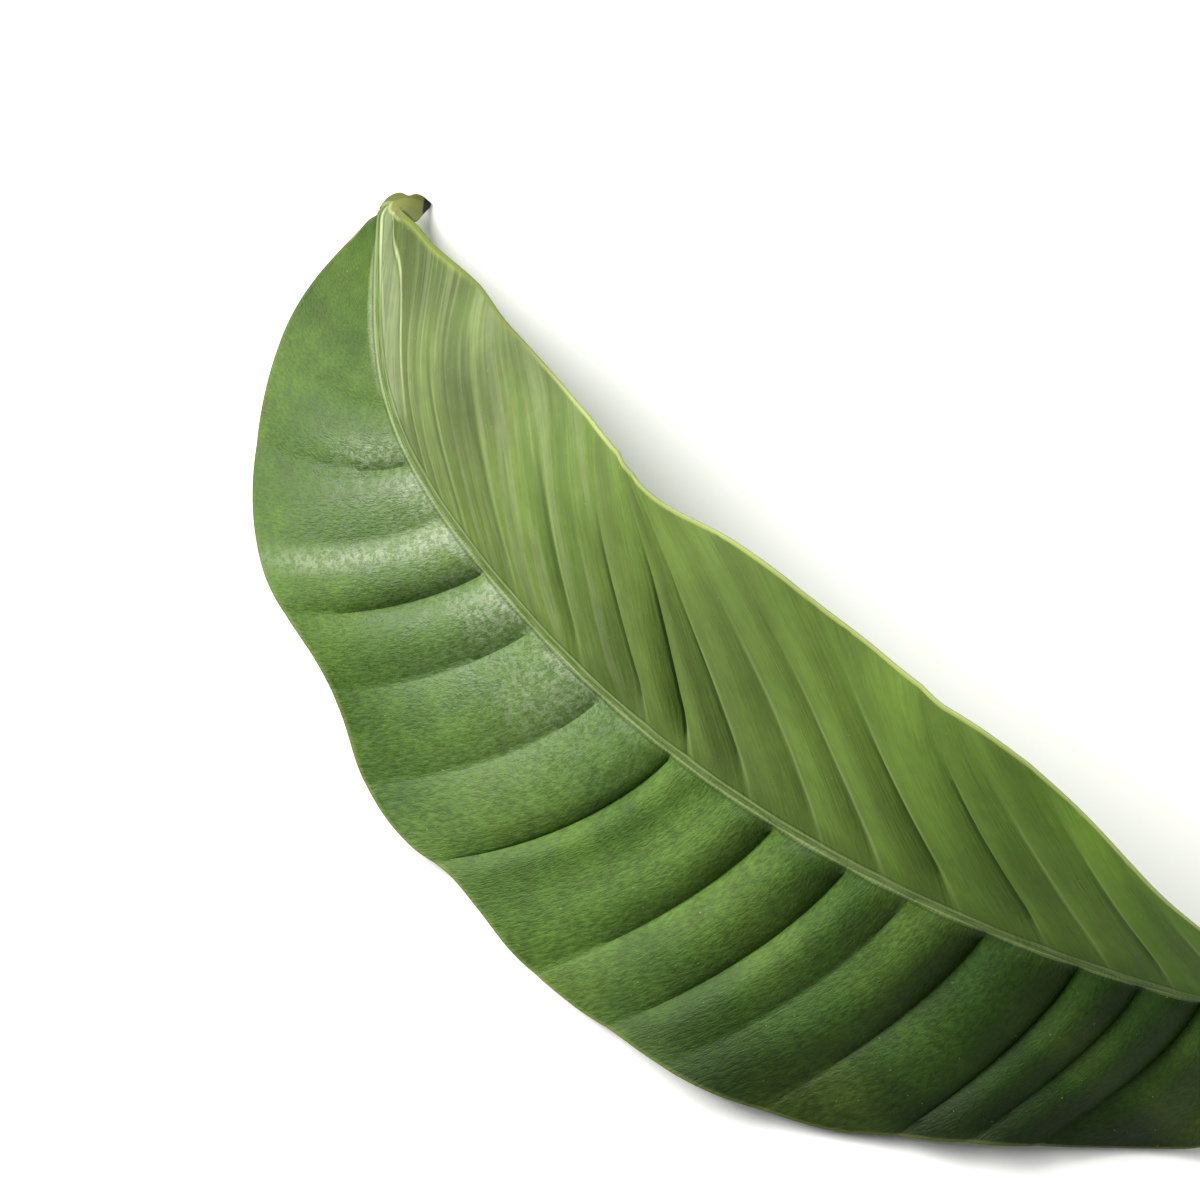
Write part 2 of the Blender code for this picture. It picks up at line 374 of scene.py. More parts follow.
# The lights: name, place and side in metres, power and colour. The first is the low soft one past the
# tip, the second gives the sheen and the third lights the table
LIGHTS = (
    ("key", (0.745, -0.06, 0.6), 0.5, 17.0, (1.0, 0.985, 0.94)),
    ("side", (0.26, 0.126, 0.445), 0.16, 0.8, (1.0, 1.0, 1.0)),
    ("table", (-0.62, -0.59, 0.37), 0.5, 7.0, (1.0, 1.0, 1.0)),
)
ROOM_STRENGTH = 0.12

# The photograph's camera: its place in metres, the way back to it, the image's upward side, the
# middle of its view and its lens
CAMERA_PLACE = (-0.2204, 0.0194, 0.884)
TOWARD_CAMERA = (-0.3086, 0.0317, 0.9507)
IMAGE_UP = (0.5369, -0.8191, 0.2016)
VIEW_MIDDLE = (0.042, -0.0075, 0.076)
LENS_MM = 152.7
SENSOR_MM = 36.0


def smooth(table, column, at):
    """A column of a table at the given places, on a curve with no corners."""
    places = np.array([row[0] for row in table], float)
    values = np.array([row[column] for row in table], float)
    slopes = np.gradient(values, places)
    at = np.clip(at, places[0], places[-1])
    before = np.clip(np.searchsorted(places, at) - 1, 0, len(places) - 2)
    span = places[before + 1] - places[before]
    t = (at - places[before]) / span
    return (
        (2 * t**3 - 3 * t**2 + 1) * values[before]
        + (t**3 - 2 * t**2 + t) * span * slopes[before]
        + (3 * t**2 - 2 * t**3) * values[before + 1]
        + (t**3 - t**2) * span * slopes[before + 1]
    )


def ease(value):
    """0 below 0, 1 above 1, and a soft step between."""
    value = np.clip(value, 0, 1)
    return value * value * (3 - 2 * value)


def midrib_path():
    """Distances along the midrib, with its points, its upward normals and its leftward sides."""
    at = np.arange(-STALK_LENGTH, BLADE_LENGTH * TIP_END / 100 + PATH_STEP, PATH_STEP)
    climb, turn = np.radians(smooth(MIDRIB, 1, at)), np.radians(smooth(MIDRIB, 2, at))
    roll = np.radians(smooth(MIDRIB, 3, at))[:, None]
    ahead = np.stack([np.cos(climb) * np.cos(turn), np.cos(climb) * np.sin(turn), np.sin(climb)], 1)
    level_up = np.stack([-np.sin(climb) * np.cos(turn), -np.sin(climb) * np.sin(turn), np.cos(climb)], 1)
    up = level_up * np.cos(roll) + np.cross(level_up, ahead) * np.sin(roll)
    into_curl = np.clip((100 * at / BLADE_LENGTH - CURL_START) / (TIP_END - CURL_START), 0, 1)[:, None]
    tip_turn, tip_curl = np.radians(TIP_TURN * into_curl), np.radians(TIP_CURL * into_curl)
    aside = ahead * np.cos(tip_turn) + np.cross(up, ahead) * np.sin(tip_turn)
    ahead = aside * np.cos(tip_curl) + up * np.sin(tip_curl)
    up = up * np.cos(tip_curl) - aside * np.sin(tip_curl)
    steps = (ahead[1:] + ahead[:-1]) / 2 * PATH_STEP
    points = np.vstack([np.zeros(3), np.cumsum(steps, axis=0)])
    return at, points, up, np.cross(up, ahead)


PATH = midrib_path()


def on_path(x):
    """The midrib's point, upward normal and leftward side at each distance x."""
    at = PATH[0]
    return [np.stack([np.interp(x, at, values[:, i]) for i in range(3)], -1) for values in PATH[1:]]


def lift(x, y, side):
    """Flat places, x along the midrib and y out from it, carried onto the arched and folded blade."""
    half = LEFT_HALF if side > 0 else RIGHT_HALF
    percent = 100 * x / BLADE_LENGTH
    fold = np.radians(smooth(half, 1, percent))
    half_curl = np.radians(smooth(half, 2, percent)) * y / CURL_WIDTH / 2
    chord = y * np.sinc(half_curl / np.pi)
    point, up, left = on_path(x)
    angle = fold + half_curl
    return point + left * (side * chord * np.cos(angle))[..., None] + up * (chord * np.sin(angle))[..., None]


def margin_of(side):
    return LEFT_MARGIN if side > 0 else RIGHT_MARGIN


def nerve_line(start, t, side):
    """Flat places on the nerve line that starts at this percent, t running from midrib to margin."""
    end = smooth(margin_of(side), 1, start)
    bend = NERVE_BEND + BASE_BEND * np.exp(-start / BASE_BEND_REACH)
    percent = start + (end - start) * t**bend
    nick = smooth(NICKS, 1 if side > 0 else 2, start)
    return percent * BLADE_LENGTH / 100, smooth(margin_of(side), 2, start) * t + nick * t**3


def nerve_starts(side):
    """Where the nerves of one half leave the midrib, as percent of the blade's length."""
    nerves = np.array(NERVES)
    return nerves - side * NERVE_SHIFT * np.clip(np.minimum(nerves, 100 - nerves) / SHIFT_ENDS, 0, 1)


def nerve_phase(start, side):
    """Whole numbers on the nerves, and shares of the way between them."""
    return np.interp(start, nerve_starts(side), np.arange(len(NERVES)))


def leaning(phase, t, side):
    """Starts of the nerve lines that the creases reach at each share t of the way to the margin."""
    if side > 0:
        lean = smooth(LEAN, 1, phase) * t
    else:
        at_margin = smooth(LEAN, 2, phase) * t**RIGHT_LEAN_POWER
        lean = at_margin + smooth(LEAN, 3, phase) * HUMP_SCALE * t**2 * (1 - t)
    return np.interp(phase + lean, np.arange(len(NERVES)), nerve_starts(side))


def crease_depth(phase, side):
    """Depth of the creases, as a share of a full one."""
    return np.interp(phase, np.arange(len(NERVES)), LEFT_CREASES if side > 0 else RIGHT_CREASES)


def relief(phase, start, t, x, side):
    """Height of the pleats, of the lesser nerves between them and of the slow waves of the margin."""
    depth = crease_depth(phase, side)
    pleat = depth * (np.abs(np.sin(np.pi * phase)) ** PLEAT_SHARPNESS - PLEAT_MEAN)
    uneven = 0.5 + 0.5 * np.sin(UNEVEN_RATE * phase + side)
    lesser = uneven * (np.abs(np.sin(np.pi * LESSER_COUNT * phase)) - PLEAT_MEAN)
    width = smooth(margin_of(side), 2, start)
    rib_fade = LEFT_RIB_FADE if side > 0 else RIGHT_RIB_FADE
    fade = ease(t / rib_fade) * (1 - MARGIN_FADE * t**2) * np.minimum(width / FULL_PLEAT_WIDTH, 1)
    ends = ease(start / BASE_FADE) * ease((100 - start) / TIP_FADE)
    wave = (LEFT_WAVE if side > 0 else RIGHT_WAVE) * np.sin(2 * np.pi * x / WAVE_LENGTH + side) * t**3
    height = LEFT_PLEAT if side > 0 else RIGHT_PLEAT
    return ((height * pleat + LESSER_HEIGHT * lesser) * fade + wave) * ends


def row_starts():
    """Percents of the blade's length where rows start, with a row on every crease, so that it stays sharp."""
    starts = np.linspace(0, 100, BLADE_ROWS)
    for crease in (*nerve_starts(-1), *nerve_starts(1)):
        starts[np.argmin(np.abs(starts - crease))] = crease
    return np.concatenate([starts, np.linspace(100, TIP_END, TIP_ROWS + 1)[1:]])


def distance_to_margin(x, y):
    """Flat distance from each point of one half to its margin, the last column."""
    nearest = np.full(x.shape, np.inf)
    for margin_x, margin_y in zip(x[:, -1], y[:, -1]):
        nearest = np.minimum(nearest, np.hypot(x - margin_x, y - margin_y))
    return nearest


class Half:
    """One half of the blade as a grid: rows by nerve line, columns from the midrib out."""

    def __init__(self, starts, side):
        width = smooth(margin_of(side), 2, starts)
        rib = np.minimum(RIB_HALF_WIDTH, width / 2) / width
        near_rib = np.linspace(0, 1, RIB_COLUMNS + 1)[:-1] * rib[:, None]
        beyond = rib[:, None] + np.linspace(0, 1, BLADE_COLUMNS + 1) * (1 - rib)[:, None]
        self.t = np.concatenate([near_rib, beyond], 1)
        self.nerve = np.broadcast_to(nerve_phase(starts, side)[:, None], self.t.shape)
        first, last = nerve_starts(side)[[0, -1]]
        leans = (starts > first) & (starts < last)
        self.start = np.where(leans[:, None], leaning(self.nerve, self.t, side), starts[:, None])
        self.x, y = nerve_line(self.start, self.t, side)
        self.points = lift(self.x, y, side)
        self.relief = relief(self.nerve, self.start, self.t, self.x, side)
        self.depth = crease_depth(self.nerve, side)
        self.y = side * y
        self.out = side * self.t
        self.edge = distance_to_margin(self.x, y)


def both(right, left):
    """The grids of the two halves as one, columns from the right margin to the left one."""
    return np.concatenate([right[:, :0:-1], left], 1)


def grid_normals(points):
    along = np.gradient(points, axis=0)
    across = np.gradient(points, axis=1)
    normals = np.cross(along, across)
    return normals / np.linalg.norm(normals, axis=2, keepdims=True)


class Blade:
    """The blade's two faces and rims, with the flat place of every point."""

    def __init__(self):
        starts = row_starts()
        right, left = Half(starts, -1), Half(starts, 1)
        points = both(right.points, left.points)
        points = points + grid_normals(points) * both(right.relief, left.relief)[..., None]
        normals = grid_normals(points)
        self.starts = starts
        self.x = both(right.x, left.x)
        self.y = both(right.y, left.y)
        self.out = both(right.out, left.out)
        self.edge = both(right.edge, left.edge)
        self.nerve = both(right.nerve, left.nerve)
        self.depth = both(right.depth, left.depth)
        taper = np.clip(1 - starts / 100, RIB_TIP_SHARE, 1)[:, None]
        from_rib = np.clip(np.abs(self.y) / RIB_HALF_WIDTH, 0, 1)
        half = self.half_thickness()
        ridge = RIB_RIDGE * taper * (1 - ease(from_rib))
        keel = KEEL_DEPTH * taper * np.sqrt(1 - from_rib**2)
        self.upper = points + normals * (half + ridge)[..., None]
        self.lower = points - normals * (half + keel)[..., None]
        self.rims = [self.rim(points, normals, half, column) for column in (0, -1)]

    def half_thickness(self):
        """Half the blade's thickness: thin at its base edge, swollen at the rim."""
        base = ease(self.starts / NERVES[1])[:, None]
        body = BASE_THICKNESS + (BLADE_THICKNESS - BASE_THICKNESS) * base
        rim = (RIM_THICKNESS - BLADE_THICKNESS) * (1 - ease(self.edge / RIM_WIDTH)) * base
        return (body + rim) / 2

    def rim(self, points, normals, half, column):
        """Rows of points round one margin, from the upper face to the lower one."""
        inner = 1 if column == 0 else -2
        outward = points[:, column] - points[:, inner]
        outward = outward / np.linalg.norm(outward, axis=1, keepdims=True)
        angles = np.linspace(0, np.pi, RIM_COLUMNS + 2)[1:-1]
        reach = half[:, column][:, None]
        return np.stack(
            [
                points[:, column] + reach * (normals[:, column] * np.cos(a) + outward * np.sin(a))
                for a in angles
            ],
            1,
        )


def stalk_rings(count):
    """Rings of the stalk from the blade's base to its cut end, each with count points above and below."""
    sides = np.linspace(-1, 1, count)
    rings = []
    for x in np.linspace(0, -STALK_LENGTH, STALK_ROWS + 1)[1:]:
        knee = 1 + KNEE_SWELL * np.exp(-(((x + KNEE_LENGTH) / (KNEE_LENGTH / 2)) ** 2))
        width = STALK_HALF_WIDTH * knee
        top = BLADE_THICKNESS / 2 + STALK_CHANNEL * (sides**2 - CHANNEL_LEVEL)
        bottom = -BLADE_THICKNESS / 2 - STALK_DEPTH * knee * np.sqrt(1 - (STALK_ROUNDNESS * sides) ** 2)
        point, up, left = on_path(np.array(x))
        upper = point + left * (sides * width)[:, None] + up * top[:, None]
        lower = point + left * (sides * width)[:, None] + up * bottom[:, None]
        rings.append(np.vstack([upper, lower[::-1]]))
    return np.array(rings)


# What the mesh tells the material about each of its points
ATTRIBUTES = ("flat_x", "flat_y", "nerve", "depth", "out", "edge", "upper")


class LeafMesh:
    """Collects points with their attributes, and faces with their places on the bake map."""

    def __init__(self):
        self.points = []
        self.attributes = {name: [] for name in ATTRIBUTES}
        self.count = 0
        self.faces = []
        self.corners = []

    def add_points(self, grid, **attributes):
        """Adds a grid of points, and returns the grid of their indices."""
        shape = grid.shape[:2]
        self.points.append(grid.reshape(-1, 3))
        for name, values in self.attributes.items():
            values.append(np.broadcast_to(attributes[name], shape).ravel())
        indices = np.arange(self.count, self.count + shape[0] * shape[1]).reshape(shape)
        self.count += indices.size
        return indices

    def add_sheet(self, indices, map_x, map_y, turned=False):
        """Adds the quads of a grid of points that already exist."""
        places = np.stack(np.broadcast_arrays(map_x, map_y), -1)
        around = [(slice(0, -1), slice(0, -1)), (slice(1, None), slice(0, -1))]
        around += [(slice(1, None), slice(1, None)), (slice(0, -1), slice(1, None))]
        if turned:
            around.reverse()
        quads = np.stack([indices[part] for part in around], -1).reshape(-1, 4)
        corners = np.stack([places[part] for part in around], -2).reshape(-1, 4, 2)
        self.faces += quads.tolist()
        self.corners.append(corners.reshape(-1, 2))

    def add_face(self, ring, map_x, map_y):
        """Adds one many-sided face, drawn as a small round on the bake map."""
        angles = np.linspace(0, 2 * np.pi, len(ring), endpoint=False)
        self.faces.append([int(index) for index in ring])
        self.corners.append(np.stack([map_x + np.cos(angles), map_y + np.sin(angles)], 1))


def laid_down(points, box):
    """The leaf turned as it lies, its stalk's end where the CAD leaf has it, resting at the same level."""
    turned = points @ (turn_about(2, LAY_TURN) @ turn_about(1, LAY_PITCH) @ turn_about(0, LAY_ROLL)).T
    return turned + [*STALK_END_PLACE, box[0][2] / MM - turned[:, 2].min()]


def turn_about(axis, degrees):
    """Rotation matrix about one of the three axes."""
    angle = np.radians(degrees)
    matrix = np.eye(3)
    a, b = (axis + 1) % 3, (axis + 2) % 3
    matrix[[a, b], [a, b]] = np.cos(angle)
    matrix[a, b] = -np.sin(angle)
    matrix[b, a] = np.sin(angle)
    return matrix


def add_blade(made, blade):
    """Adds both faces, the two rims and the closed ends of the blade. Returns the indices at its base."""
    flat = {"flat_x": blade.x, "flat_y": blade.y, "nerve": blade.nerve}
    flat |= {"depth": blade.depth, "out": blade.out, "edge": blade.edge}
    top = made.add_points(blade.upper, upper=1.0, **flat)
    under = made.add_points(blade.lower, upper=0.0, **flat)
    made.add_sheet(top, blade.x, MAP_UPPER + blade.y)
    made.add_sheet(under, blade.x, MAP_LOWER + blade.y, turned=True)
    for rim, column, map_y in zip(blade.rims, (0, -1), MAP_RIMS):
        at_margin = {name: values[:, [column]] for name, values in flat.items()}
        round_edge = made.add_points(rim, upper=np.linspace(*RIM_UPPER, RIM_COLUMNS), **at_margin)
        strip = np.column_stack([top[:, column], round_edge, under[:, column]])
        across = map_y + np.linspace(0, RIM_THICKNESS * 2, RIM_COLUMNS + 2)
        made.add_sheet(strip, blade.x[:, [column]], across[None, :], turned=column == 0)
        for row, map_x in zip((0, -1), MAP_RIM_ENDS):
            ring = strip[row] if (row == 0) == (column == 0) else strip[row][::-1]
            made.add_face(ring, map_x, MAP_ENDS + map_y - MAP_RIMS[0])
    tip_wall = np.stack([top[-1], under[-1]])
    tip_x = MAP_TIP_WALL + MAP_TIP_STRETCH * blade.y[[-1, -1]]
    made.add_sheet(tip_wall, tip_x, MAP_ENDS + np.array([[0], [1]]))
    return top, under


def add_stalk(made, top, under):
    """Closes the blade's base edge and adds the stalk at the midrib."""
    middle = top.shape[1] // 2
    rib = slice(middle - RIB_COLUMNS, middle + RIB_COLUMNS + 1)
    beside_rib = (slice(0, rib.start + 1), slice(rib.stop - 1, None))
    for part, map_start in zip(beside_rib, MAP_BASE_WALLS):
        wall = np.stack([top[0, part], under[0, part]])
        places = map_start + np.arange(wall.shape[1]) / 2
        made.add_sheet(wall, places[None, :], MAP_ENDS + np.array([[0], [1]]), turned=True)
    sides = np.linspace(-1, 1, top[0, rib].size)
    rings = stalk_rings(sides.size)
    across = np.concatenate([sides, sides[::-1]]) * STALK_HALF_WIDTH
    x = np.linspace(0, -STALK_LENGTH, STALK_ROWS + 1)[1:, None]
    is_upper = np.concatenate([np.full(sides.size, share) for share in STALK_UPPER])
    far = {"nerve": 0.0, "depth": 0.0, "out": 0.0, "edge": FAR_FROM_MARGIN}
    new = made.add_points(rings, flat_x=x, flat_y=across, upper=is_upper, **far)
    base_ring = np.concatenate([top[0, rib], under[0, rib][::-1]])
    grid = np.vstack([base_ring[None, :], new])
    grid = np.column_stack([grid, grid[:, 0]])
    map_x = MAP_STALK_START - MAP_STALK_STRETCH * np.concatenate([[[0.0]], x])
    map_y = MAP_STALK + np.linspace(0, MAP_STALK_WIDTH, grid.shape[1])[None, :]
    made.add_sheet(grid, map_x, map_y, turned=True)
    made.add_face(new[-1][::-1], MAP_STALK_CUT, MAP_ENDS)


def make_leaf(box):
    """The finished leaf as one object."""
    made = LeafMesh()
    top, under = add_blade(made, Blade())
    add_stalk(made, top, under)
    points = laid_down(np.vstack(made.points), box) * MM
    mesh = bpy.data.meshes.new("leaf_fine")
    mesh.from_pydata(points.tolist(), [], made.faces)
    for name, values in made.attributes.items():
        attribute = mesh.attributes.new(name, "FLOAT", "POINT")
        attribute.data.foreach_set("value", np.concatenate(values).astype(np.float32))
    bake_map = mesh.uv_layers.new(name="OFBake")
    places = (np.vstack(made.corners) + MAP_SHIFT) / MAP_SIZE
    bake_map.uv.foreach_set("vector", places.astype(np.float32).ravel())
    mesh.shade_smooth()
    mesh.set_sharp_from_angle(angle=np.radians(SHARP_ANGLE))
    mesh.update()
    leaf = bpy.data.objects.new("leaf_fine", mesh)
    bpy.context.scene.collection.objects.link(leaf)
    return leaf


class Nodes:
    """Adds nodes to one material with short calls. Each value may be a number, a tuple or a socket."""

    def __init__(self, material):
        self.tree = material.node_tree

    def put(self, socket, value):
        if isinstance(value, bpy.types.NodeSocket):
            self.tree.links.new(value, socket)
        else:
            socket.default_value = value

    def add(self, kind, values, **settings):
        """A node with the values of its inputs, by name or by number."""
        node = self.tree.nodes.new(kind)
        for name, value in settings.items():
            setattr(node, name, value)
        for name, value in values.items():
            self.put(node.inputs[name], value)
        return node

    def math(self, operation, a, b=0.0):
        return self.add("ShaderNodeMath", {0: a, 1: b}, operation=operation).outputs[0]

    def times(self, value, *others):
        """The product of all these values."""
        for other in others:
            value = self.math("MULTIPLY", value, other)
        return value

    def away(self, value, place):
        """How far a value is from this place, on either side."""
        return self.math("ABSOLUTE", self.math("SUBTRACT", value, place))

    def step(self, value, low, high, start=0.0, end=1.0):
        """A soft step from start at low to end at high."""
        values = {"Value": value, "From Min": low, "From Max": high, "To Min": start, "To Max": end}
        return self.add("ShaderNodeMapRange", values, interpolation_type="SMOOTHSTEP").outputs["Result"]

    def mix(self, share, a, b, how="MIX"):
        """A colour between a and b."""
        return self.add("ShaderNodeMix", {0: share, 6: a, 7: b}, data_type="RGBA", blend_type=how).outputs[2]

    def attribute(self, name):
        return self.add("ShaderNodeAttribute", {}, attribute_name=name).outputs["Fac"]

    def vector(self, x, y, z=0.0):
        return self.add("ShaderNodeCombineXYZ", {0: x, 1: y, 2: z}).outputs[0]

    def noise(self, vector, size, detail=2.0, roughness=0.5):
        """Noise whose spots are about this size, in the units of the vector."""
        values = {"Vector": vector, "Scale": 1 / size, "Detail": detail, "Roughness": roughness}
        return self.add("ShaderNodeTexNoise", values).outputs[0]


class Places:
    """Where a point of the leaf is, as sockets: the attributes of the mesh and what follows from them.

    x, y, from_rib and edge are millimetres of the flat leaf and nerve is a nerve's number. out is the share
    of the way to the margin, negative on the right half, and from_nerve is in nerve spaces.
    """

    def __init__(self, n):
        self.x = n.attribute("flat_x")
        self.y = n.attribute("flat_y")
        self.nerve = n.attribute("nerve")
        self.out = n.attribute("out")
        self.edge = n.attribute("edge")
        self.upper = n.attribute("upper")
        self.depth = n.attribute("depth")
        self.from_rib = n.math("ABSOLUTE", self.y)
        self.share_out = n.math("ABSOLUTE", self.out)
        self.right_half = n.step(self.out, 0.02, -0.02)
        self.from_nerve = n.math("SUBTRACT", self.nerve, n.math("ROUND", self.nerve))


class Noises:
    """The leaf's uneven patterns: some are drawn out along the nerves, others lie on the flat leaf."""

    def __init__(self, n, at):
        leather_out = n.times(at.out, by_half(n, at, *LEATHER_OUT))
        leather_ways = n.vector(n.times(at.nerve, LEATHER_ACROSS), leather_out, at.right_half)
        nerve_ways = n.vector(n.times(at.nerve, STREAKS_ACROSS), n.times(at.out, STREAKS_OUT), at.right_half)
        flat = n.vector(at.x, at.y, n.times(at.upper, FACES_APART))
        rib_ways = n.vector(n.times(at.x, RIB_STRETCH), at.y, at.upper)
        self.leathery = n.noise(leather_ways, 1.0, 2.0, 0.65)
        self.streaks = n.noise(nerve_ways, 2.0)
        self.bands = n.noise(nerve_ways, 6.5, 1.0)
        self.cloud = n.noise(flat, 22.0, 1.0)
        self.mottle = n.noise(flat, 3.5, 1.0, 0.6)
        self.grain = n.noise(flat, 1.1, 2.0, 0.8)
        self.rib_lines = n.noise(rib_ways, 0.3, 1.0)


def by_half(n, at, left, right):
    """A value that differs between the two halves."""
    return n.step(at.right_half, 0, 1, left, right)


def green_along(n, at, table):
    """The green of one half, which changes along the blade."""
    green = table[0][2]
    for begins, full, colour in table[1:]:
        green = n.mix(n.step(at.x, begins, full), green, colour)
    return green


def main_greens(n, at, noises):
    """The greens of the two halves, with painted shade at the left margin near the base and soft clouds."""
    # Painted shade where the left margin near the base curls away from the light.
    painted_margin_shade = n.times(n.step(at.out, 0.55, 0.95), n.step(at.x, 135, 75, 0.0, 0.85))
    left_green = n.mix(painted_margin_shade, green_along(n, at, LEFT_GREENS), PAINTED_SHADE_GREEN)
    green = n.mix(at.right_half, left_green, green_along(n, at, RIGHT_GREENS))
    return n.mix(n.step(noises.cloud, 0.35, 0.7, 0.0, 0.25), green, CLOUD_GREEN)


def add_streaks(n, at, noises, green):
    """Pale and dark streaks along the nerves in the middle of the right half."""
    streaked = n.times(at.right_half, n.step(at.nerve, 9.3, 10.5), n.step(at.nerve, 14.5, 13.5))
    pale = n.times(n.step(noises.streaks, 0.5, 0.6, 0.0, 0.4), streaked)
    dark = n.times(n.step(noises.streaks, 0.48, 0.38, 0.0, 0.3), streaked)
    green = n.mix(pale, green, PALE_STREAK)
    return n.mix(dark, green, DARK_STREAK)


def add_lens(n, at, green):
    """The pale zone of the right half next to the tip, shaped like half a lens, with its cream outline."""
    lens_x = n.math("DIVIDE", n.math("MAXIMUM", n.math("SUBTRACT", LENS_END, at.nerve), 0.0), LENS_LENGTH)
    lens_y = n.math("DIVIDE", n.math("SUBTRACT", at.share_out, LENS_MIDDLE), LENS_HALF_WIDTH)
    squares = n.math("ADD", n.math("POWER", lens_x, 2.0), n.math("POWER", n.math("ABSOLUTE", lens_y), 2.0))
    to_lens = n.math("POWER", squares, 0.5)
    in_lens = n.times(n.step(to_lens, 1.0, 0.75), at.right_half, n.step(at.nerve, 14.0, 15.0))
    slant = n.times(n.math("SUBTRACT", at.nerve, LENS_END), LENS_SLANT)
    beside_rib = n.step(n.math("SUBTRACT", at.out, slant), 0.04, -0.04)
    beside_rib = n.times(beside_rib, n.step(at.nerve, LENS_END, 16.4), n.step(at.out, -0.02, 0.0))
    green = n.mix(n.times(n.math("MAXIMUM", in_lens, beside_rib), 0.75), green, LENS_GREEN)
    outline = n.times(n.step(n.away(to_lens, 1.0), 0.09, 0.0), at.right_half)
    outline = n.times(outline, n.step(at.nerve, 13.8, 14.6), n.step(lens_y, -0.6, 0.2))
    return n.mix(n.times(outline, 0.75), green, LENS_OUTLINE)


def toned(n, at, noises, green):
    """The green made uneven by the skin's grain, mottles, clouds and bands."""
    skin = n.step(noises.leathery, 0.3, 0.7, 0.76, 1.24)
    skin = n.times(skin, n.step(noises.mottle, 0.35, 0.65, 1.09, 0.9))
    tone = n.math("POWER", skin, by_half(n, at, 1.0, 0.4))
    tone = n.times(tone, n.step(noises.cloud, 0.35, 0.65, 0.9, 1.1))
    banded = n.math("POWER", n.step(noises.bands, 0.3, 0.7, 0.86, 1.16), by_half(n, at, 0.5, 1.0))
    return n.mix(1.0, green, n.times(tone, banded), "MULTIPLY")


def add_creases(n, at, noises, green):
    """Crease lines, partly darker sunken nerves and partly painted shade; painted shade on their side towards
    the tip and, on the right half, beside the midrib; and on the right half a pale side towards the base,
    partly a pale nerve line and partly painted highlight.
    """
    fade = n.times(n.step(at.share_out, 0.85, 0.5), n.step(at.nerve, 16.5, 15.0))
    fade = n.times(fade, n.step(noises.bands, 0.38, 0.6, 0.55, 1.0), n.step(at.out, -0.06, -0.16, 0.5, 1.0))
    # Painted shade on the side of each crease towards the tip.
    painted_tipward_shade = n.times(n.step(at.from_nerve, 0.0, 0.06), n.step(at.from_nerve, 0.5, 0.1))
    painted_tipward_shade = n.times(painted_tipward_shade, at.depth, fade, by_half(n, at, 0.55, 0.2))
    green = n.mix(painted_tipward_shade, green, TIPWARD_SHADE_GREEN)
    # Painted shade beside the midrib on the right half.
    near_rib = n.times(n.step(at.out, -0.16, -0.06), at.right_half, n.step(at.nerve, 13.0, 11.5))
    green = n.mix(n.times(near_rib, 0.35), green, PAINTED_RIB_SHADE_GREEN)
    # Crease lines: partly darker sunken nerves, partly painted shade in the crease.
    dark = n.times(n.step(n.away(at.from_nerve, 0.02), 0.06, 0.01), at.depth, fade, 0.75)
    green = n.mix(dark, green, CREASE_NERVE_AND_SHADE)
    # Pale side of the right half's creases: partly a pale nerve line, partly painted highlight on the slope
    # that faces the light.
    pale = n.times(n.step(n.away(at.from_nerve, -0.09), 0.07, 0.0), at.right_half, fade, 0.6)
    return n.mix(pale, green, CREASE_PALE_AND_HIGHLIGHT)


def sheen_share(n, at):
    """How much the left half shines beside the midrib, in the stretch before the tip: a painted sheen in the
    colour and a lower roughness.
    """
    along = n.times(n.step(at.nerve, 9.8, 11.2), n.step(at.nerve, 16.2, 15.0))
    return n.times(along, n.step(at.out, 0.95, 0.3), n.step(at.out, -0.02, 0.05))


def add_painted_sheen(n, at, noises, sheen, green):
    """Pale specks, a speckled painted sheen where the left half shines, and painted highlights on its ridges.
    """
    green = n.mix(n.step(noises.grain, 0.72, 0.78, 0.0, 0.6), green, SPECK_GREEN)
    speckled = n.step(noises.grain, 0.42, 0.6, 0.25, 0.9)
    # Painted sheen: pale speckled colour where light shines off the left half.
    painted_sheen = n.times(sheen, speckled, n.step(at.out, 0.5, 0.1, 0.3, 0.6))
    green = n.mix(painted_sheen, green, PAINTED_SHEEN_GREEN)
    for place, half_width, reach, strength in PAINTED_HIGHLIGHT_RIDGES:
        # Painted highlights along the ridges, where light catches them.
        ridge = n.times(n.step(n.away(at.nerve, place), half_width, 0.0), n.step(at.out, reach, reach / 2))
        ridge = n.times(ridge, n.step(at.out, 0.0, 0.03), speckled, strength)
        green = n.mix(ridge, green, PAINTED_HIGHLIGHT_GREEN)
    return green


def add_midrib(n, at, rib_green, green):
    """The midrib with its two pale lines and dark sides, and the cream line that leads to the tip."""
    rib_width = n.step(at.x, 60, 250, *RIB_WIDTHS)
    on_rib = n.step(n.math("DIVIDE", at.from_rib, rib_width), 1.0, 0.85)
    green = n.mix(n.times(on_rib, 0.85), green, rib_green)
    for place, strength in RIB_LINES:
        along = n.step(at.x, 20, 90, strength / 3, strength)
        green = n.mix(n.times(n.step(n.away(at.y, place), 0.3, 0.1), along), green, RIB_LINE_GREEN)
    from_line = n.math("ADD", at.y, n.times(n.math("SUBTRACT", TIP_LINE_END, at.x), TIP_LINE_SLANT))
    line = n.times(n.step(n.math("ABSOLUTE", from_line), 0.6, 0.2), n.step(at.x, 222, 243))
    green = n.mix(n.times(line, n.step(at.x, 257, 254), 0.85), green, TIP_LINE_GREEN)
    rib_side = n.step(n.away(at.from_rib, n.times(rib_width, 1.15)), 0.35, 0.0)
    return n.mix(n.times(rib_side, 0.6), green, RIB_SIDE_GREEN)


